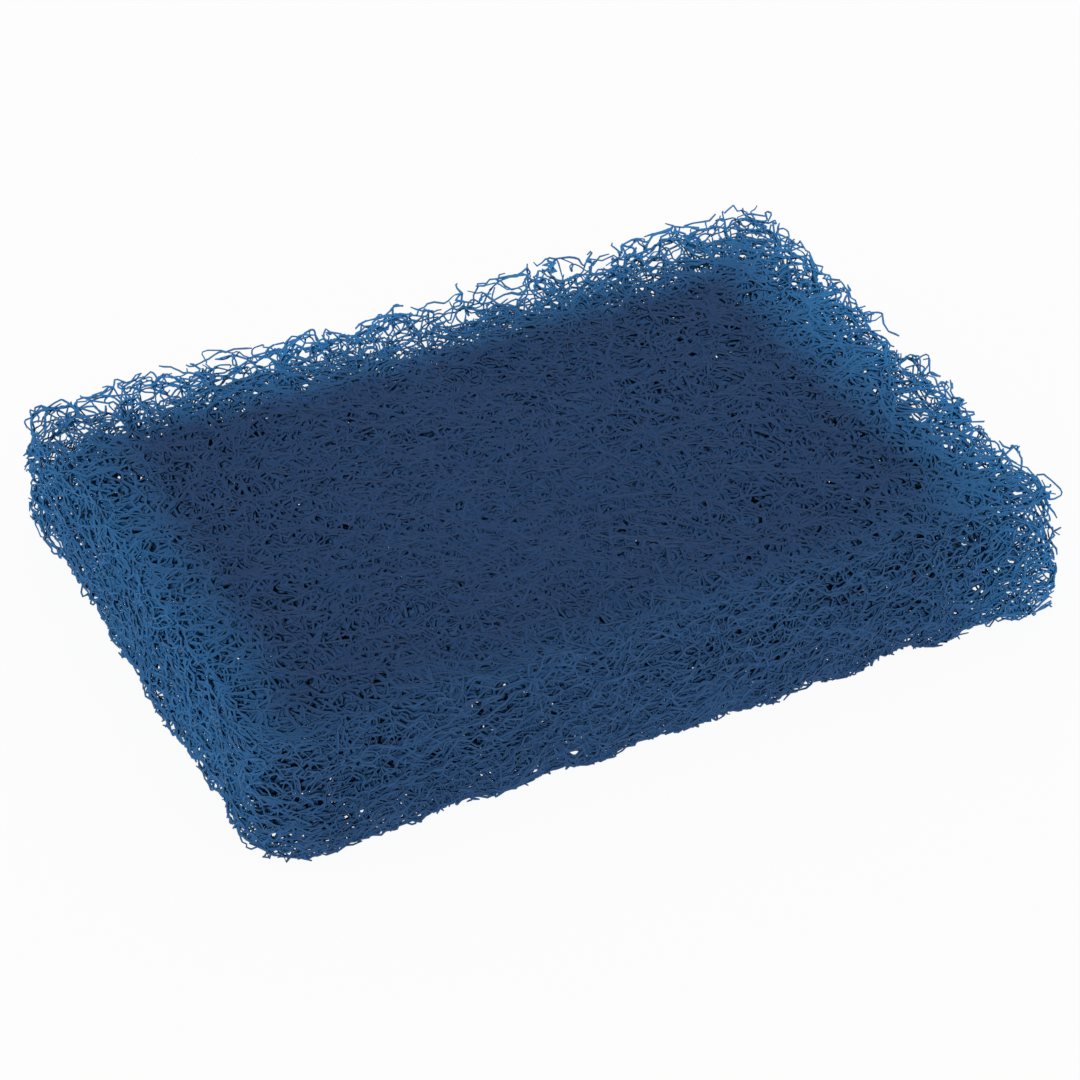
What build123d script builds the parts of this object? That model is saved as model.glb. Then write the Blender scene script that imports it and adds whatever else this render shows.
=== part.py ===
from build123d import *
from math import cos, tau
import os

# Pot scrubber: one thick pad of crimped, resin-bonded nylon fibre, cut from a wide web.
# The pad is one bonded piece, so it is one solid: the space that the springy fibres fill.
# It lies flat on its lower face. The origin is the centre of that face, +X runs along the
# long side, -Y is the front long side and +Z is up. All sizes are in millimetres.

# Overall size
length = 127.0              # along X, the cut length
width = 89.0                # along Y, the cut width
thickness = 21.0            # along Z, the loft of the web

# Corners in plan, named as seen from above with the front side nearest
front_left_radius = 9.0     # the most worn corner
front_right_radius = 6.0
back_right_radius = 4.0
back_left_radius = 4.0

# Rim between the two broad faces and the cut sides
rim_radius = 2.0

# The cut sides aren't straight: the web relaxes after the cut. A side dips inwards from its
# straight line by a slow sway and a shorter ripple, and returns to the line at both ends.
sway_depth = 0.5            # deepest inward dip of the slow sway
sway_pitch = 38.0           # length of one sway
ripple_depth = 1.2          # deepest inward dip of the ripple on the two long sides
ripple_pitch = 14.0         # length of one ripple
end_ripple_share = 0.6      # the two short sides ripple less than the long ones
calm_run = 6.0              # length at each end of a side over which the sway fades out
straight_step = 0.01        # a smaller step from one turn of a side to the next is left straight


def dip(turn, along, run, share, phase):
    """Inward distance of a cut side from its straight line, at one of its turns: every second
    turn is a dip of the ripple, and the dips aren't alike."""
    fade = min(1.0, along / calm_run, (run - along) / calm_run)
    sway = sway_depth * (1 - cos(tau * along / sway_pitch + phase)) / 2
    ripple = share * ripple_depth * (0.7 + 0.3 * cos(2.4 * turn + phase)) * (turn % 2)
    return fade * sway + ripple


def cut_side(start, end, share, phase):
    """Draws one wavy side, from turn to turn in pairs of arcs that all run on smoothly, for an
    outline that is walked anticlockwise."""
    direction = (end - start).normalized()
    inward = Vector(-direction.Y, direction.X)
    run = (end - start).length
    turns = 2 * max(1, round(run / ripple_pitch))
    dips = [dip(turn, run * turn / turns, run, share, phase) for turn in range(turns + 1)]
    places = [start + direction * (run * turn / turns) + inward * dips[turn]
              for turn in range(turns + 1)]
    for turn in range(turns):
        here, there = places[turn], places[turn + 1]
        if abs(dips[turn + 1] - dips[turn]) < straight_step:
            Line(here, there)
        else:
            middle = (here + there) / 2
            TangentArc(here, middle, tangent=direction)
            TangentArc(there, middle, tangent=direction * -1)


left = -length / 2
right = length / 2
front = -width / 2
back = width / 2

# Each corner: its radius, the centre of its arc and the angle at which the arc starts
corners = [
    (front_left_radius, Vector(left + front_left_radius, front + front_left_radius), 180),
    (front_right_radius, Vector(right - front_right_radius, front + front_right_radius), 270),
    (back_right_radius, Vector(right - back_right_radius, back - back_right_radius), 0),
    (back_left_radius, Vector(left + back_left_radius, back - back_left_radius), 90),
]

# Each side from one corner to the next: its start, its end, its share of ripple and its phase
front_side = (
    Vector(left + front_left_radius, front), Vector(right - front_right_radius, front), 1.0, 0.4)
right_side = (
    Vector(right, front + front_right_radius), Vector(right, back - back_right_radius),
    end_ripple_share, 2.1)
back_side = (
    Vector(right - back_right_radius, back), Vector(left + back_left_radius, back), 1.0, 3.3)
left_side = (
    Vector(left, back - back_left_radius), Vector(left, front + front_left_radius),
    end_ripple_share, 5.0)

with BuildPart() as scrub_pad:
    with BuildSketch():
        with BuildLine():
            for radius, centre, start_angle in corners:
                CenterArc(centre, radius, start_angle, 90)
            for start, end, share, phase in (front_side, right_side, back_side, left_side):
                cut_side(start, end, share, phase)
        make_face()
    extrude(amount=thickness)
    fillet(scrub_pad.faces().sort_by(Axis.Z)[-1].edges(), radius=rim_radius)
    fillet(scrub_pad.faces().sort_by(Axis.Z)[0].edges(), radius=rim_radius)

scrub_pad.part.label = "scrub_pad"

os.makedirs("parts", exist_ok=True)
export_step(scrub_pad.part, "parts/scrub_pad.step")
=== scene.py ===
import math

import bpy
import numpy as np
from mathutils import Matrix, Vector
from mathutils.bvhtree import BVHTree
from mathutils.kdtree import KDTree


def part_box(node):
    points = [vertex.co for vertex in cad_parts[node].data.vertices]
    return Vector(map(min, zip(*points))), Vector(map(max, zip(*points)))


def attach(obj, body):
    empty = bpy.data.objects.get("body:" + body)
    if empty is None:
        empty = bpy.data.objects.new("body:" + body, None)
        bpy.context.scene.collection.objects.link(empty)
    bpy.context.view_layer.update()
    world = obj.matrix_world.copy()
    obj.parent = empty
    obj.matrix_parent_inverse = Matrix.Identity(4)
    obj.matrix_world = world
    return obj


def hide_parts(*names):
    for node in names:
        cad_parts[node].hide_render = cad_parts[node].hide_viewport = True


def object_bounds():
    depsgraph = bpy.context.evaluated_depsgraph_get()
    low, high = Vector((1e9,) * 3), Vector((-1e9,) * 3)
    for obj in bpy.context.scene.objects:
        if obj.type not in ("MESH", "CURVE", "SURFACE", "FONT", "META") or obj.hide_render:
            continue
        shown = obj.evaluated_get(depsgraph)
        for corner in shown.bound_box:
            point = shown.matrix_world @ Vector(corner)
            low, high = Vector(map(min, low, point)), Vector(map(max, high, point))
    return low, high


# The pot scrubber is one web of crimped, resin-coated fibres. This script grows the fibres one by
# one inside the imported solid, trims them at its cut sides, bonds them where they pass close to each
# other and skins them as closed tubes. The web is worked out in millimetres and written in metres.

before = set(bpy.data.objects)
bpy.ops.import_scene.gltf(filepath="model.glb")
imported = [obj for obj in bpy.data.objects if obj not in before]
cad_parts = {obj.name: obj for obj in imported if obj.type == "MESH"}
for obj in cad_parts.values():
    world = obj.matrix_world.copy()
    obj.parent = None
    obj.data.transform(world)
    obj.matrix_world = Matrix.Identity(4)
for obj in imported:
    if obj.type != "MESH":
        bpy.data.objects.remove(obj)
cad_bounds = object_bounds()

MM = 0.001
PAD = "scrub_pad"
SEED = 5

# The web. Most fibres run through the whole web; the rest lie matted in one of its surfaces.
FIBRES = 4400
UPPER_FIBRES = 2000                     # matted in the upper face
LOWER_FIBRES = 750                      # matted in the lower face
SIDE_FIBRES = 1850                      # matted in the cut sides
TRIES = 14 * SIDE_FIBRES + 3 * FIBRES   # places tried for the starts of fibres
FIBRE_LENGTHS = (26.0, 44.0)            # mm along one staple fibre
STEP = 0.55                             # mm between points of a fibre as it grows
SHORTEST_RUN = 5                        # points; a shorter scrap of fibre falls out
PLIES = 6                               # pieces that the web is split into, bottom to top

# The cut sides differ: front, right, back, left
SIDE_BLEND = 5.0                        # mm over which a side's ways fade into the next side's
SIDE_PULLS = (0.9, 4.0, 1.0, 0.7)       # how far its ways reach round the corners
LOOSE = (0.25, 1.3, 1.0, 0.4)           # how loose and uneven the web is there
MATTED = (1.0, 0.42, 0.42, 0.7)         # share of the side's full mat of fibres
CUT_SHARES = (0.4, 0.75, 0.65, 0.5)     # share of the fibres that the cut ends; others turn back
OPENED = (0.0, 0.4, 1.0, 0.2)           # share of the depths at which fibres stop short there
OPENED_BELOW = (0.0, 0.7, 1.0, 0.6)     # and of those of the lower face's mat
FRINGE = (0.0, 6.0, 11.0, 3.0)          # mm over which the web is all fine fibres there
FINE = (0.5, 10.0, 12.0, 6.0)           # mm over which its fibres are drawn most finely there
UPPER_RIM = (2.6, 1.0, 0.3, 1.8)        # mm, radius of the web's upper rim
GLOW_AT_CUT = (0.1, 0.85, 0.9, 0.42)         # share of the painted light through the thin web, a brighter blue, right at the cut
GLOW_DEPTHS = (8.0, 18.0, 17.0, 12.0)   # mm inside the cut over which that painted light fades

# The crimp of one fibre: it zigzags, and the plane of the zigzag turns slowly
CRIMP = 1.6                             # largest curvature, per mm
CRIMP_SHARES = (0.6, 1.15)              # share of it, from fibre to fibre
CRIMP_LENGTHS = (2.8, 5.0)              # mm of fibre in one wave
CRIMP_DRIFT = 1.1                       # rad by which the waves come early or late
DRIFT_LENGTHS = (7.0, 20.0)             # mm over which that comes and goes
ROLL = 0.35                             # rad per mm by which the plane of the crimp turns
ROLL_CHANGE = 1.5                       # how much that changes along a fibre
ROLL_LENGTHS = (6.0, 20.0)              # mm over which it does

# The way of one fibre
PULL = 0.16                             # how firmly a fibre keeps to its heading, per mm
CLIMB = 0.35                            # slope at which a heading wanders up and down
CLIMB_LENGTHS = (12.0, 40.0)            # mm over which it does
WANDER = 0.7                            # rad by which a heading wanders in plan
WANDER_LENGTHS = (20.0, 60.0)           # mm over which it does
NOISE_WAVES = 3                         # waves that are added up for each of these changes

# Fibres are turned back in a skin under the broad faces and inside the cut sides
FACE_SKIN = 1.6                         # mm
SIDE_SKIN = 1.4                         # mm
FACE_TURN = 2.6                         # how firmly a face turns them
SIDE_TURN = 2.6                         # how firmly a side does
MOST_TURN = 1.5                         # skins deep; a side turns no more firmly past that
BOUNCE_FROM = 0.5                       # skins deep; past that a heading bounces off the side
BOUNCES = (1.2, 2.0)                    # times its outward part that it loses; 2 is a mirror's

# The mats in the faces and in the cut sides
MAT_FLAT = 0.15                         # share of the usual climb and turn in a face's mat
MAT_SLOPE = 0.25                        # slope at which its fibres press towards the face
MAT_LEAN = 2.0                          # how much of the lower face's mat lies near the front
SIDE_HOLD = 1.2                         # how firmly a side's mat keeps to that side
MOST_HOLD = 2.0                         # skins away; it keeps to the side no more firmly past that
SIDE_CLIMB = 2.5                        # times the usual climb in a side's mat
SIDE_SAG = 1.9                          # how much of it lies low

# The cut. A fibre that the cut doesn't end stays inside a wall of its own, near the cut side. LOOSE
# scales how far walls and cut ends stand out.
PROUD = 1.2                             # mm that the loosest wall stands outside the side
SHY = 0.5                               # mm that the tightest one lies inside it
HEM = 0.25                              # how firmly a fibre is held inside its wall, at each step
STRAY = 2.2                             # mm that the longest cut end sticks out
LOWER_RIM = 0.6                         # mm, radius of the web's lower rim
LOW_TOP = 0.6                           # mm, at most, that a fibre keeps below the upper face
CROWD_DEPTH = 6.0                       # mm inside a cut side over which the web crowds towards it
CROWDING = 0.6                          # share by which it is packed closer right at the side

# Where fibres stop short of a loose side. These depths start outside the side, past every fibre.
FAR_OUT = 2 * PROUD                     # mm outside the side where they start
OPEN_DEPTH = 13.0                       # mm over which fibres thin out
OPEN_SHARE = 0.36                       # share of the fibres that stop short
MAT_OPEN = (8.5, 18.0)                  # mm where the fibres of the faces' mats stop
MAT_KEPT = 0.16                         # share of them that run on to the side

# Uneven density, as a slow squeeze and stretch of the web in plan that changes through its height
CLOUD_WAVES = 12
CLOUD_LENGTHS = (5.0, 13.0)             # mm
CLOUD_LEAN = 0.8                        # mm of the squeeze's shift for each mm of height, at most
CLOUD_SHIFT = 0.24                      # mm for each wave
CLOUD_DEPTH = 22.0                      # mm inside a cut side over which the squeeze weakens
CLOUD_KEPT = 0.45                       # share of it that is left there

# Resin
FIBRE_RADIUS = 0.16                     # mm, with its coat
COATS = (0.85, 1.2)                     # share of that radius, from fibre to fibre
LUMPS = 0.1                             # share by which a coat is lumpy
LUMP_WAVES = (2.1, 1.7, 2.9)            # rad per mm along X, Y and Z
TAPER = 0.7                             # share of its radius that a fibre has at its ends
BOND_REACH = 0.6                        # mm within which the wet resin draws two fibres together
BOND_PULL = 0.4                         # share of the gap that each closes in a round, at most
BOND_ROUNDS = 2
BOND_LOOKS = 6                          # nearest points that are looked at for another fibre
BOND_SWELL = 0.5                        # share by which the coat thickens at a bond

# Points that a fibre can do without are left out. The core is seen only through the gaps of the
# outer web, so it is drawn more coarsely, and with thicker fibres.
SPARING_ROUNDS = 3
SLACK_AT_SIDES = 0.15                   # mm by which a fibre may be straightened
SLACK_AT_FACES = 0.22
SLACK_WHERE_THICK = 0.35
SLACK_IN_CORE = 0.7
SPAN = 2.2                              # mm, longest straight
SPAN_IN_CORE = 4.5
THICK_DEPTHS = (0.4, 2.0)               # mm below a broad face over which the fibres get thicker
THICK_INSIDE = (0.5, 3.0)               # and mm past the fringe
THICKER = 1.2                           # share by which they do
MAT_THICK_INSIDE = 4.0                  # mm past the fringe over which face fibres get thicker
MAT_THICKER = 0.35                      # share by which they do
CORE_DEPTHS = (2.5, 5.5)                # mm below a broad face over which the core begins
CORE_INSIDE = (2.0, 6.0)                # and mm past the fringe
CORE_FROM = 0.9                         # coarseness from which some fibres are left out
CORE_GAPS = 0.5                         # share of the fibres that are left out there

# A fibre's tube, and its places in a cell of the map
SIDES = 3
FIRST_SKEW = (0.31, -0.52, 0.79)        # direction that the first corners are turned from
WALL_CORNERS = ((0.1, 0.1), (0.1, 0.9), (0.9, 0.9), (0.9, 0.1))
CAP_CORNERS = ((0.1, 0.1), (0.9, 0.1), (0.5, 0.9))

# Colours, linear
FIBRE_DARK = (0.0135, 0.039, 0.105)     # the darkest fibre
FIBRE_LIGHT = (0.0155, 0.046, 0.124)    # the lightest
FIBRE_UNDER_FILL_LIGHT = (0.020, 0.061, 0.155)     # painted fill light: a lighter blue below the surface, where shade falls
FIBRE_DEEP_FILL_LIGHT = (0.032, 0.099, 0.245)      # painted fill light: a lighter blue still, deep in the web's shade
FIBRE_EDGE_GLOW = (0.029, 0.200, 0.470)      # painted light through the thin web: a brighter blue near the cut sides
UNDER_DEPTHS = (0.2, 1.5)               # mm over which the painted fill light below the surface takes over
DEEP_DEPTHS = (1.5, 6.0)                # mm over which the deep painted fill light does
FRINGE_SHADE = 0.35                     # mm of that depth for each mm of fringe beside a fibre
SIDE_SHADE = 0.55                       # mm of it for each mm past the fringe

# The grit in the coat, and its sheen
GRIT_SCALE = 4200                       # per m
GRIT_DETAIL = 3
GRIT_ROUGHNESS = (0.5, 0.8)
GRIT_BUMP = 0.5
GRIT_HEIGHT = 0.05                      # mm
COAT_SPECULAR = 0.25
COAT_DIFFUSE_ROUGHNESS = 1.0

# Floor
FLOOR_SIZE = 3.0                        # m from its middle to its edge
FLOOR = 0.93                            # its white, linear
FLOOR_ROUGHNESS = 0.8
FLOOR_SPECULAR = 0.1
FLOOR_WHITE = 0.88                      # share of the seen floor that is plain white

# Camera and light
AZIMUTH = -27.1                         # degrees round from the front, anticlockwise from above
ELEVATION = 37.6                        # degrees above the floor
DISTANCE = 492.3                        # mm from the middle of the pad
SIDEWAYS = 0.72                         # mm to the right of the line to the middle
UPWARD = -4.95                          # mm above that line
LENS = 110.17                           # mm
SENSOR = 36.0                           # mm
CLIP_START = 0.01                       # m
WORLD = 0.42                            # strength of the even white surroundings
KEY = 2.55                              # strength of the key light, from behind the camera
KEY_SOFTNESS = 5.0                      # degrees across


# ---------------------------------------------------------------------------------------------
# Growing the fibres
# ---------------------------------------------------------------------------------------------

def ripple(rng, rows, places, lengths):
    """One row of smooth noise per fibre, about -1 to 1, with waves between two lengths in mm."""
    total = np.zeros((rows, len(places)))
    for _ in range(NOISE_WAVES):
        wave = 2 * math.pi / rng.uniform(*lengths, (rows, 1))
        total += np.sin(wave * places + rng.uniform(0, 2 * math.pi, (rows, 1)))
    return total / 2


def unit(vectors):
    """The same directions at length 1."""
    return vectors / np.maximum(np.linalg.norm(vectors, axis=-1, keepdims=True), 1e-9)


def by_side(places, low, high, values):
    """A mix of one value for each cut side (front, right, back, left), by how near each is."""
    x, y = places[..., 0], places[..., 1]
    gaps = np.stack([y - low[1], high[0] - x, high[1] - y, x - low[0]], -1)
    weights = SIDE_PULLS * np.exp(-np.maximum(gaps, 0) / SIDE_BLEND)
    return weights @ np.array(values) / weights.sum(-1)


def scattered(rng, outline, low, high):
    """Where each fibre starts, and four masks: the fibres matted in the upper face, in the lower
    face and in the cut sides, and those that the cut ends."""
    places = rng.uniform(low, high, (TRIES, 3))
    inside = outline.look(places)[0]
    in_side = (inside > 0) & (inside < SIDE_SKIN)
    in_side &= rng.uniform(0, 1, len(places)) < by_side(places, low, high, MATTED)
    beside = places[in_side][:SIDE_FIBRES]
    height, span = high[2] - low[2], high[1] - low[1]
    beside[:, 2] = low[2] + height * ((beside[:, 2] - low[2]) / height) ** SIDE_SAG
    others = places[inside > -PROUD][:FIBRES + UPPER_FIBRES + LOWER_FIBRES]
    starts = np.concatenate([beside, others])
    number = np.arange(len(starts)) - len(beside)       # less than 0 in a side's mat
    upper = (number >= 0) & (number < UPPER_FIBRES)
    lower = (number >= UPPER_FIBRES) & (number < UPPER_FIBRES + LOWER_FIBRES)
    starts[upper, 2], starts[lower, 2] = high[2], low[2]
    across = np.clip((starts[lower, 1] - low[1]) / span, 0, 1)
    starts[lower, 1] = low[1] + span * across ** MAT_LEAN
    cut = rng.uniform(0, 1, len(starts)) < by_side(starts, low, high, CUT_SHARES)
    cut &= number >= 0
    return starts, upper, lower, number < 0, cut


def grow(rng, outline, low, high):
    """Crimped centre lines as an array of fibre, point and coordinate, drawn along a heading that
    wanders and is turned back at a broad face or a cut side. Also where the cut ends each line,
    where it stops short of a loose side, and a mask of the fibres matted in the lower face."""
    bottom, top = low[2] + FIBRE_RADIUS, high[2] - FIBRE_RADIUS
    starts, upper, lower, beside, cut = scattered(rng, outline, low, high)
    count = len(starts)
    flat = np.where(upper | lower, MAT_FLAT, 1.0)[:, None]
    places = np.arange(0, FIBRE_LENGTHS[1], STEP)
    drift = np.diff(WANDER * ripple(rng, count, places, WANDER_LENGTHS), axis=1, prepend=0)
    climb = CLIMB * flat * ripple(rng, count, places, CLIMB_LENGTHS)
    climb += (np.where(upper, MAT_SLOPE, 0) - np.where(lower, MAT_SLOPE, 0))[:, None]
    climb *= np.where(beside, SIDE_CLIMB, 1)[:, None]
    wave = 2 * math.pi / rng.uniform(*CRIMP_LENGTHS, (count, 1))
    phase = wave * places + CRIMP_DRIFT * ripple(rng, count, places, DRIFT_LENGTHS)
    phase += rng.uniform(0, 2 * math.pi, (count, 1))
    crimp = CRIMP * rng.uniform(*CRIMP_SHARES, (count, 1)) * np.sin(phase)
    hand = rng.choice((-1.0, 1.0), (count, 1))
    roll = ROLL * (hand + ROLL_CHANGE * ripple(rng, count, places, ROLL_LENGTHS))
    turn = rng.uniform(0, 2 * math.pi, (count, 1)) + np.cumsum(roll, axis=1) * STEP
    bounce = rng.uniform(*BOUNCES, (count, 1))
    lid = top - LOW_TOP * rng.uniform(0, 1, count) ** 2 * ~upper
    reach = -PROUD + (PROUD + SHY) * rng.uniform(0, 1, count)
    held = ~cut

    at = starts
    way = rng.uniform(0, 2 * math.pi, count)
    heading = np.stack([np.cos(way), np.sin(way)], 1)
    along = unit(np.concatenate([heading, climb[:, :1]], 1))
    across = unit(np.cross(along, rng.normal(size=(count, 3))))
    lines = np.empty((count, len(places), 3))
    for i in range(len(places)):
        lines[:, i] = at
        inside, inward = outline.look(at)
        upper_half = at[:, 2] > (bottom + top) / 2
        rim = np.where(upper_half, by_side(at, low, high, UPPER_RIM), LOWER_RIM)
        gap = np.where(upper_half, top - at[:, 2], at[:, 2] - bottom)
        wall = reach * by_side(at, low, high, LOOSE)
        wall = wall + rim - np.sqrt(rim ** 2 - np.clip(rim - gap, 0, rim) ** 2)
        side = np.clip((wall + SIDE_SKIN - inside) / SIDE_SKIN, 0, MOST_TURN) * held
        hold = np.clip((inside - wall) / SIDE_SKIN, 0, MOST_HOLD) * beside
        over = np.clip((at[:, 2] - (lid - FACE_SKIN)) / FACE_SKIN, 0, 1)
        under = np.clip(((bottom + FACE_SKIN) - at[:, 2]) / FACE_SKIN, 0, 1)

        outward = np.minimum(np.sum(heading * inward, 1, keepdims=True), 0)
        heading = unit(heading - bounce * outward * inward * (side > BOUNCE_FROM)[:, None])
        swing = drift[:, i, None]
        heading = heading * np.cos(swing) + heading[:, ::-1] * (-1, 1) * np.sin(swing)
        turned = (SIDE_TURN * side ** 2 * ~beside - SIDE_HOLD * hold)[:, None] * inward
        aim = np.concatenate([heading + turned, climb[:, i, None]], 1)
        aim[:, 2] += FACE_TURN * flat[:, 0] * (under ** 2 - over ** 2)
        aim -= along * np.sum(aim * along, 1, keepdims=True)
        third = np.cross(along, across)
        bend = across * np.cos(turn[:, i, None]) + third * np.sin(turn[:, i, None])
        along = unit(along + STEP * (crimp[:, i, None] * bend + PULL * aim))
        across = unit(across - along * np.sum(across * along, 1, keepdims=True))
        at = at + STEP * along
        inside, inward = outline.look(at)
        at[:, :2] += inward * (HEM * np.maximum(wall - inside, 0) * held)[:, None]
        at[:, 2] = np.clip(at[:, 2], bottom, lid)
    ends = SHY - (SHY + STRAY) * rng.uniform(0, 1, count) ** 2
    short = OPEN_DEPTH * np.clip(1 - rng.uniform(0, 1, count) / OPEN_SHARE, 0, 1)
    stop = rng.uniform(*MAT_OPEN, count) * (rng.uniform(0, 1, count) > MAT_KEPT)
    short = np.where(upper | lower, stop, short)
    return lines, np.where(cut, ends, -FAR_OUT), short, lower


def crowd(outline, lines):
    """Packs the web closer to its cut sides."""
    inside, inward = outline.look(lines)
    share = np.clip(inside / CROWD_DEPTH, 0, 1)
    shifted = lines.copy()
    shifted[..., :2] -= inward * (CROWDING * CROWD_DEPTH * share * (1 - share))[..., None]
    return shifted


def trimmed(rng, outline, lines, ends, short, lower, low, high):
    """The runs of fibre that are left when fibres are cut off, some stop short of the loose sides
    and some are left out of the core: for each run its fibre, its first point and its last point
    + 1."""
    cut = ends[:, None] * by_side(lines, low, high, LOOSE)
    opened = np.where(lower[:, None], by_side(lines, low, high, OPENED_BELOW),
                      by_side(lines, low, high, OPENED))
    short = short[:, None] * opened - FAR_OUT
    kept = outline.look(lines)[0] > np.maximum(short, cut)
    core = depth_shares(outline, lines, low, high)[1]
    kept &= (core < CORE_FROM) | (rng.uniform(0, 1, (len(lines), 1)) > CORE_GAPS)
    counts = rng.uniform(*FIBRE_LENGTHS, (len(lines), 1)) / STEP
    kept &= np.arange(lines.shape[1]) < counts
    edge = np.diff(np.pad(kept, ((0, 0), (1, 1))).astype(np.int8), axis=1)
    fibre, first = np.nonzero(edge == 1)
    last = np.nonzero(edge == -1)[1]
    long_enough = last - first >= SHORTEST_RUN
    return fibre[long_enough], first[long_enough], last[long_enough]


def depth_shares(outline, places, low, high):
    """How much thicker fibres are at a place, and how coarsely the core is drawn there, 0 to 1."""
    edge = outline.look(places)[0] - by_side(places, low, high, FRINGE)
    from_faces = np.minimum(places[..., 2] - low[2], high[2] - places[..., 2])

    def rise(value, start, end):
        return np.clip((value - start) / (end - start), 0, 1)

    thick = rise(from_faces, *THICK_DEPTHS) * rise(edge, *THICK_INSIDE)
    core = rise(from_faces, *CORE_DEPTHS) * rise(edge, *CORE_INSIDE)
    return thick, core


def spared(points, run, slack, span):
    """Which points are left when each run may be straightened by its slack, up to a span."""
    left = np.arange(len(points))
    for _ in range(SPARING_ROUNDS):
        here, mine = points[left], run[left]
        first = np.flatnonzero(np.diff(mine, prepend=-1))
        place = np.arange(len(mine)) - np.repeat(first, np.diff(np.append(first, len(mine))))
        between = (place % 2 == 1) & (mine == np.append(mine[1:], -1))
        before, after = np.roll(here, 1, axis=0), np.roll(here, -1, axis=0)
        chord = after - before
        off = np.linalg.norm(np.cross(here - before, unit(chord)), axis=1)
        long = np.linalg.norm(chord, axis=1)
        left = left[~(between & (off < slack[left]) & (long < span[left]))]
    return left


def cloud(rng, outline, lines, low, high):
    """Squeezes and stretches the web in plan, which leaves it thin in some places."""
    shift = np.zeros(lines.shape[:-1] + (2,))
    for _ in range(CLOUD_WAVES):
        angle = rng.uniform(0, 2 * math.pi)
        wave = 2 * math.pi / rng.uniform(*CLOUD_LENGTHS)
        direction = np.array([math.cos(angle), math.sin(angle)])
        lean = CLOUD_LEAN * rng.uniform(-1, 1)
        phase = wave * (lines @ np.append(direction, lean)) + rng.uniform(0, 2 * math.pi)
        shift += CLOUD_SHIFT * np.sin(phase)[..., None] * direction
    share = 1 - (1 - CLOUD_KEPT) * np.clip(outline.look(lines)[0] / CLOUD_DEPTH, 0, 1)
    shifted = lines.copy()
    shifted[..., :2] += shift * (share * by_side(lines, low, high, LOOSE))[..., None]
    return shifted


# ---------------------------------------------------------------------------------------------
# The pad's outline
# ---------------------------------------------------------------------------------------------

class Outline:
    """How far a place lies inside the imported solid's cut sides, and which way is inward, read
    from the solid once on a grid at half its height and looked up between the grid's points. The
    solid is stretched upwards first, so that its broad faces are never the nearest."""

    PITCH = 0.5                         # mm
    RIM = 6.0                           # mm of grid outside the solid
    STRETCH = 10                        # times its height

    def __init__(self, solid, low, high):
        mesh = solid.data
        stretched = Vector((1, 1, self.STRETCH)) / MM
        corners = [v.co * stretched for v in mesh.vertices]
        tree = BVHTree.FromPolygons(corners, [p.vertices for p in mesh.polygons])
        self.corner = low[:2] - self.RIM
        across, along = ((high[:2] - low[:2] + 2 * self.RIM) / self.PITCH).astype(int) + 1
        middle = (low[2] + high[2]) / 2 * self.STRETCH
        self.inside = np.empty((across, along))
        for i in range(across):
            for j in range(along):
                x, y = self.corner + (i * self.PITCH, j * self.PITCH)
                near, normal, _, _ = tree.find_nearest((x, y, middle))
                offset = near - Vector((x, y, middle))
                self.inside[i, j] = math.copysign(offset.length, offset.dot(normal))
        self.inward = unit(np.stack(np.gradient(self.inside, self.PITCH), 2))

    def look(self, places):
        """How far inside the cut sides each place lies, in mm, and which way is inward there."""
        at = (places[..., :2] - self.corner) / self.PITCH
        at = np.clip(at, 0, np.array(self.inside.shape) - 1.001)    # inside the last cell
        i, j = at.astype(int)[..., 0], at.astype(int)[..., 1]
        u, v = at[..., 0] - i, at[..., 1] - j
        weights = (1 - u) * (1 - v), u * (1 - v), (1 - u) * v, u * v
        cells = (i, j), (i + 1, j), (i, j + 1), (i + 1, j + 1)
        inside = sum(w * self.inside[c] for w, c in zip(weights, cells))
        inward = sum(w[..., None] * self.inward[c] for w, c in zip(weights, cells))
        return inside, inward


# ---------------------------------------------------------------------------------------------
# Bonding
# ---------------------------------------------------------------------------------------------

def along_runs(values, first_of_run, last_of_run):
    """The mean of each point and its two neighbours on the same run."""
    before, after = np.roll(values, 1, axis=0), np.roll(values, -1, axis=0)
    before[first_of_run] = values[first_of_run]
    after[last_of_run] = values[last_of_run]
    return (before + values + after) / 3


def bonded(points, run, starts, ends):
    """Draws fibres together where they pass close, and says how near each point is to a bond."""
    for _ in range(BOND_ROUNDS):
        tree = KDTree(len(points))
        for i, p in enumerate(points):
            tree.insert(p, i)
        tree.balance()
        shift = np.zeros_like(points)
        near = np.zeros(len(points))
        for i, p in enumerate(points):
            for _, j, gap in tree.find_n(p, BOND_LOOKS):
                if run[j] != run[i]:
                    if gap < BOND_REACH:
                        near[i] = 1 - gap / BOND_REACH
                        shift[i] = points[j] - p
                    break
        weight = BOND_PULL * np.minimum(1, 2 * near * (1 - near) + near)[:, None]
        points = points + along_runs(shift * weight, starts, ends)
    return points, near


# ---------------------------------------------------------------------------------------------
# Skinning
# ---------------------------------------------------------------------------------------------

def tube_frames(points, starts, counts):
    """The direction of the fibre at each point and a normal that doesn't spin along it."""
    longest = counts.max()
    index = starts[:, None] + np.minimum(np.arange(longest), counts[:, None] - 1)
    lines = points[index]
    before = lines[:, np.maximum(np.arange(longest) - 1, 0)]
    after_at = np.minimum(np.arange(longest)[None] + 1, counts[:, None] - 1)
    after = np.take_along_axis(lines, after_at[..., None].repeat(3, 2), axis=1)
    direction = unit(after - before)
    normal = np.empty_like(direction)
    turned = unit(np.cross(direction[:, 0], np.array(FIRST_SKEW)))
    for i in range(longest):
        turned = unit(turned - direction[:, i] * np.sum(turned * direction[:, i], 1, keepdims=True))
        normal[:, i] = turned
    used = np.arange(longest)[None] < counts[:, None]
    return direction[used], normal[used]


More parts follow.
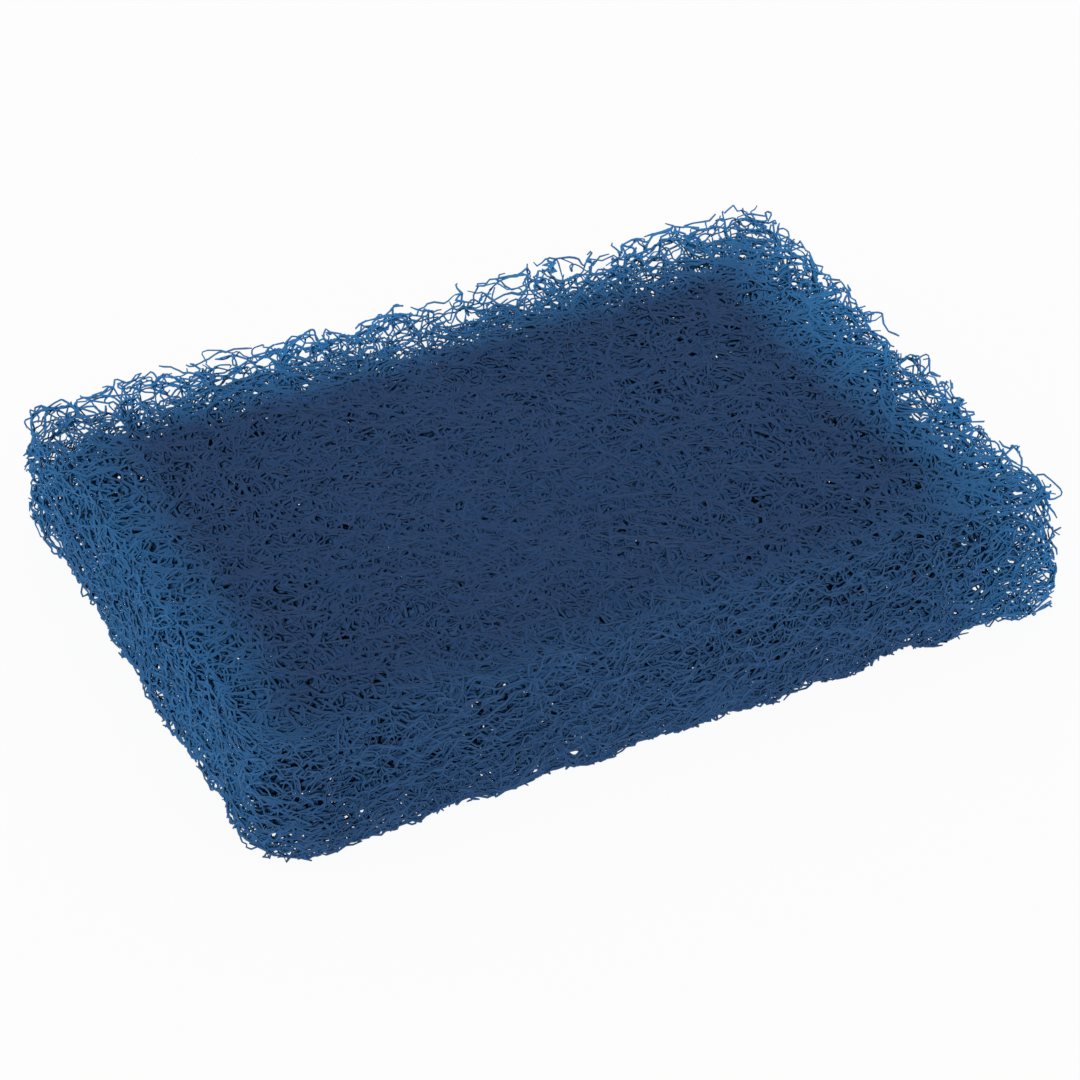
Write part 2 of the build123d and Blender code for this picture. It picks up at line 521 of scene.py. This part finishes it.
def atlas(faces):
    """The lower left corner of each face's cell in the map, and the size of a cell. The cells run
    tube by tube, in a row along each of its sides."""
    rows = math.ceil(math.sqrt(faces) / SIDES)
    columns = math.ceil(faces / SIDES / rows)
    cell, side = np.divmod(np.arange(faces), SIDES)
    row, column = np.divmod(cell, columns)
    corner = np.stack([column / columns, (row * SIDES + side) / (rows * SIDES)], 1)
    return corner, (1 / columns, 1 / (rows * SIDES))


def skin(name, points, radius, starts, counts, values, material):
    """One closed tube for each run of fibre, all in one mesh, with walls of quads."""
    direction, normal = tube_frames(points, starts, counts)
    third = np.cross(direction, normal)
    angle = 2 * math.pi * np.arange(SIDES) / SIDES
    ring = normal[:, None] * np.cos(angle)[:, None] + third[:, None] * np.sin(angle)[:, None]
    rims = points[:, None] + ring * radius[:, None, None]
    total = len(points)

    ends = starts + counts - 1
    goes_on = np.ones(total, bool)
    goes_on[ends] = False
    segment = np.flatnonzero(goes_on)
    side = np.arange(SIDES)
    beside = (side + 1) % SIDES
    near, far = segment[:, None] * SIDES, (segment[:, None] + 1) * SIDES
    walls = np.stack([near + side, near + beside, far + beside, far + side], 2).reshape(-1, 4)
    caps = np.concatenate([starts[:, None] * SIDES + side[::-1], ends[:, None] * SIDES + side])
    corners = np.concatenate([walls.ravel(), caps.ravel()])
    sizes = np.concatenate([np.full(len(walls), 4), np.full(len(caps), SIDES)])

    mesh = bpy.data.meshes.new(name)
    mesh.vertices.add(total * SIDES)
    mesh.vertices.foreach_set("co", (rims * MM).astype(np.float32).ravel())
    mesh.loops.add(len(corners))
    mesh.loops.foreach_set("vertex_index", corners.astype(np.int32))
    mesh.polygons.add(len(sizes))
    mesh.polygons.foreach_set("loop_start", (np.cumsum(sizes) - sizes).astype(np.int32))
    corner, size = atlas(len(sizes))
    wall, cap = np.array(WALL_CORNERS) * size, np.array(CAP_CORNERS) * size
    map_places = np.concatenate([
        (corner[:len(walls), None] + wall).reshape(-1, 2),
        (corner[len(walls):, None] + cap).reshape(-1, 2)])
    map_layer = mesh.uv_layers.new(name="OFBake")
    map_layer.data.foreach_set("uv", map_places.astype(np.float32).ravel())
    for label, value in values.items():
        attribute = mesh.attributes.new(label, "FLOAT", "POINT")
        attribute.data.foreach_set("value", np.repeat(value, SIDES).astype(np.float32))
    mesh.update(calc_edges=True)
    mesh.validate()
    mesh.shade_smooth()
    mesh.materials.append(material)
    piece = bpy.data.objects.new(name, mesh)
    bpy.context.scene.collection.objects.link(piece)
    return piece


# ---------------------------------------------------------------------------------------------
# Materials
# ---------------------------------------------------------------------------------------------

def new_material(name):
    """A material with its nodes, its links and its shader."""
    material = bpy.data.materials.new(name)
    material.use_nodes = True
    nodes, links = material.node_tree.nodes, material.node_tree.links
    return material, nodes, links, nodes["Principled BSDF"]


def fibre_material():
    """Dark blue resin over nylon: the blue differs from fibre to fibre, and the coat holds grit.
    A lighter blue deeper in the web is painted fill light against the shade between fibres, and a
    brighter blue near the cut sides is painted light through the thin web.
    """
    material, nodes, links, shader = new_material("resin_coated_fibre")

    def attribute(label):
        node = nodes.new("ShaderNodeAttribute")
        node.attribute_name = label
        return node.outputs["Fac"]

    def share(label, start, end):
        node = nodes.new("ShaderNodeMapRange")
        node.inputs["From Min"].default_value = start
        node.inputs["From Max"].default_value = end
        links.new(attribute(label), node.inputs["Value"])
        return node.outputs["Result"]

    def blend(factor, first, colour):
        node = nodes.new("ShaderNodeMix")
        node.data_type = "RGBA"
        links.new(factor, node.inputs["Factor"])
        links.new(first, node.inputs["A"])
        node.inputs["B"].default_value = (*colour, 1)
        return node.outputs["Result"]

    ramp = nodes.new("ShaderNodeValToRGB")
    stops = ramp.color_ramp.elements
    stops[0].position, stops[0].color = 0.0, (*FIBRE_DARK, 1)
    stops[1].position, stops[1].color = 1.0, (*FIBRE_LIGHT, 1)
    links.new(attribute("tone"), ramp.inputs["Fac"])
    # Painted fill light: the blue gets lighter with the depth of shade, against the shade between
    # fibres
    under = blend(share("shade_depth", *UNDER_DEPTHS), ramp.outputs["Color"], FIBRE_UNDER_FILL_LIGHT)
    deep = blend(share("shade_depth", *DEEP_DEPTHS), under, FIBRE_DEEP_FILL_LIGHT)
    # Painted light: the brighter blue that stands in for light through the thin web near the cut
    # sides
    colour = blend(attribute("edge"), deep, FIBRE_EDGE_GLOW)
    links.new(colour, shader.inputs["Base Color"])

    place = nodes.new("ShaderNodeTexCoord")
    grit = nodes.new("ShaderNodeTexNoise")
    grit.inputs["Scale"].default_value = GRIT_SCALE
    grit.inputs["Detail"].default_value = GRIT_DETAIL
    links.new(place.outputs["Object"], grit.inputs["Vector"])
    rough = nodes.new("ShaderNodeMapRange")
    rough.inputs["To Min"].default_value = GRIT_ROUGHNESS[0]
    rough.inputs["To Max"].default_value = GRIT_ROUGHNESS[1]
    links.new(grit.outputs["Fac"], rough.inputs["Value"])
    links.new(rough.outputs["Result"], shader.inputs["Roughness"])
    bump = nodes.new("ShaderNodeBump")
    bump.inputs["Strength"].default_value = GRIT_BUMP
    bump.inputs["Distance"].default_value = GRIT_HEIGHT * MM
    links.new(grit.outputs["Fac"], bump.inputs["Height"])
    links.new(bump.outputs["Normal"], shader.inputs["Normal"])
    shader.inputs["Specular IOR Level"].default_value = COAT_SPECULAR
    shader.inputs["Diffuse Roughness"].default_value = COAT_DIFFUSE_ROUGHNESS
    return material


def floor_material():
    """Pale and matt. Where it is seen, part of it is plain white, and the rest keeps the shadow."""
    material, nodes, links, shader = new_material("pale_floor")
    shader.inputs["Base Color"].default_value = (FLOOR, FLOOR, FLOOR, 1)
    shader.inputs["Roughness"].default_value = FLOOR_ROUGHNESS
    shader.inputs["Specular IOR Level"].default_value = FLOOR_SPECULAR
    path = nodes.new("ShaderNodeLightPath")
    seen = path.outputs["Is Camera Ray"]
    for label in ("Is Glossy Ray", "Is Transmission Ray"):
        either = nodes.new("ShaderNodeMath")
        either.operation = "MAXIMUM"
        links.new(seen, either.inputs[0])
        links.new(path.outputs[label], either.inputs[1])
        seen = either.outputs[0]
    part = nodes.new("ShaderNodeMath")
    part.operation = "MULTIPLY"
    part.inputs[1].default_value = FLOOR_WHITE
    links.new(seen, part.inputs[0])
    white = nodes.new("ShaderNodeEmission")
    mix = nodes.new("ShaderNodeMixShader")
    links.new(part.outputs[0], mix.inputs["Fac"])
    links.new(shader.outputs[0], mix.inputs[1])
    links.new(white.outputs[0], mix.inputs[2])
    links.new(mix.outputs[0], nodes["Material Output"].inputs["Surface"])
    return material


# ---------------------------------------------------------------------------------------------
# The web
# ---------------------------------------------------------------------------------------------

def thinned(outline, points, run, low, high):
    """The points that the fibres can't do without, and their runs."""
    thick, core = depth_shares(outline, points, low, high)
    inner = np.clip(outline.look(points)[0] / by_side(points, low, high, FINE), 0, 1)
    slack = SLACK_AT_SIDES + (SLACK_AT_FACES - SLACK_AT_SIDES) * inner
    slack = slack + (SLACK_WHERE_THICK - slack) * thick
    slack = slack + (SLACK_IN_CORE - slack) * core
    left = spared(points, run, slack, SPAN + (SPAN_IN_CORE - SPAN) * core)
    return points[left], run[left]


def shades(outline, points, low, high):
    """How deep each point lies in the shade of the web, in mm, for the painted fill light, its share
    of the brighter blue painted as light through the thin web near the cut sides, and how far past
    the fringe it is, in mm."""
    inside = outline.look(points)[0]
    from_faces = np.minimum(points[:, 2] - low[2], high[2] - points[:, 2])
    fringe = by_side(points, low, high, FRINGE)
    past_fringe = np.maximum(inside - fringe, 0)
    # The depth of shade for the painted fill light: the fringe and a side's mat shade a fibre less
    # than a face does
    shade_depth = SIDE_SHADE * past_fringe + FRINGE_SHADE * np.clip(inside, 0, fringe)
    shade_depth = np.minimum(from_faces, shade_depth)
    # Painted light: the share of the brighter blue that stands in for light through the thin web near
    # the cut sides
    edge = np.clip(1 - inside / by_side(points, low, high, GLOW_DEPTHS), 0, 1)
    return shade_depth, edge * by_side(points, low, high, GLOW_AT_CUT), past_fringe


def build_web():
    """Grows, trims, thins, bonds and skins the fibres, and makes one piece of each ply."""
    rng = np.random.default_rng(SEED)
    corner_low, corner_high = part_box(PAD)
    low, high = np.array(corner_low) / MM, np.array(corner_high) / MM
    outline = Outline(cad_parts[PAD], low, high)
    lines, ends, short, lower = grow(rng, outline, low, high)
    lines = crowd(outline, cloud(rng, outline, lines, low, high))
    fibre, first, last = trimmed(rng, outline, lines, ends, short, lower, low, high)
    counts = last - first
    run = np.repeat(np.arange(len(counts)), counts)
    starts = np.cumsum(counts) - counts
    points = lines[fibre[run], np.arange(len(run)) - starts[run] + first[run]]

    points, run = thinned(outline, points, run, low, high)
    counts = np.bincount(run)
    starts = np.cumsum(counts) - counts
    points, near = bonded(points, run, starts, starts + counts - 1)

    # The depth and edge values carry painted light: fill light in the web's shade, and light through
    # the thin web at the cut sides
    shade_depth, edge, past_fringe = shades(outline, points, low, high)
    tone = rng.uniform(0, 1, len(counts))[run]
    coat = rng.uniform(*COATS, len(counts))[run]
    lumps = 1 + LUMPS * np.sin(points @ np.array(LUMP_WAVES))
    thick = THICKER * depth_shares(outline, points, low, high)[0]
    matted = MAT_THICKER * np.clip(past_fringe / MAT_THICK_INSIDE, 0, 1)
    radius = FIBRE_RADIUS * coat * lumps * (1 + BOND_SWELL * near ** 2)
    radius = radius * (1 + np.maximum(thick, matted))
    radius[starts] *= TAPER
    radius[starts + counts - 1] *= TAPER
    points[:, 2] = np.clip(points[:, 2], low[2] + radius, high[2] - radius)

    level = np.bincount(run, points[:, 2]) / counts
    order = np.argsort(level)
    share = np.cumsum(counts[order]) / counts.sum()
    material = fibre_material()
    for ply in range(PLIES):
        mine = order[(share > ply / PLIES) & (share <= (ply + 1) / PLIES)]
        mine_counts = counts[mine]
        mine_starts = np.cumsum(mine_counts) - mine_counts
        picked = np.concatenate([np.arange(starts[r], starts[r] + counts[r]) for r in mine])
        values = {"tone": tone[picked], "shade_depth": shade_depth[picked], "edge": edge[picked]}
        piece = skin(f"web_ply_{ply + 1}", points[picked], radius[picked], mine_starts,
                     mine_counts, values, material)
        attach(piece, "root")
        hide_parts(PAD)


# ---------------------------------------------------------------------------------------------
# The stage
# ---------------------------------------------------------------------------------------------

def build_stage():
    """The floor, which is no piece of the part."""
    mesh = bpy.data.meshes.new("floor")
    quarters = ((-1, -1), (1, -1), (1, 1), (-1, 1))
    corners = [(x * FLOOR_SIZE, y * FLOOR_SIZE, 0) for x, y in quarters]
    mesh.from_pydata(corners, [], [(0, 1, 2, 3)])
    mesh.materials.append(floor_material())
    floor = bpy.data.objects.new("floor", mesh)
    bpy.context.scene.collection.objects.link(floor)


def line_of_sight():
    """The middle of the pad in mm, and the direction from it towards the camera."""
    low, high = cad_bounds
    a, e = math.radians(AZIMUTH), math.radians(ELEVATION)
    back = Vector((math.sin(a) * math.cos(e), -math.cos(a) * math.cos(e), math.sin(e)))
    return (Vector(low) + Vector(high)) / 2 / MM, back


def light_scene():
    """Even white surroundings and a soft key light from behind the camera."""
    world = bpy.data.worlds.new("studio")
    bpy.context.scene.world = world
    world.use_nodes = True
    background = world.node_tree.nodes["Background"]
    background.inputs["Color"].default_value = (1, 1, 1, 1)
    background.inputs["Strength"].default_value = WORLD
    lamp = bpy.data.lights.new("key", "SUN")
    lamp.angle = math.radians(KEY_SOFTNESS)
    lamp.energy = KEY
    key = bpy.data.objects.new("key", lamp)
    key.rotation_euler = line_of_sight()[1].to_track_quat("Z", "Y").to_euler()
    bpy.context.scene.collection.objects.link(key)


def aim_camera():
    """Sets the camera back along the line of sight, with the pad slightly off its middle."""
    target, back = line_of_sight()
    right = Vector((math.cos(math.radians(AZIMUTH)), math.sin(math.radians(AZIMUTH)), 0))
    up = back.cross(right)
    data = bpy.data.cameras.new("camera")
    data.lens = LENS
    data.sensor_width = SENSOR
    data.clip_start = CLIP_START
    camera = bpy.data.objects.new("camera", data)
    camera.location = (target + back * DISTANCE + right * SIDEWAYS + up * UPWARD) * MM
    camera.rotation_euler = back.to_track_quat("Z", "Y").to_euler()
    bpy.context.scene.collection.objects.link(camera)
    bpy.context.scene.camera = camera


build_web()
build_stage()
light_scene()
aim_camera()
bpy.context.scene.view_settings.view_transform = "Standard"
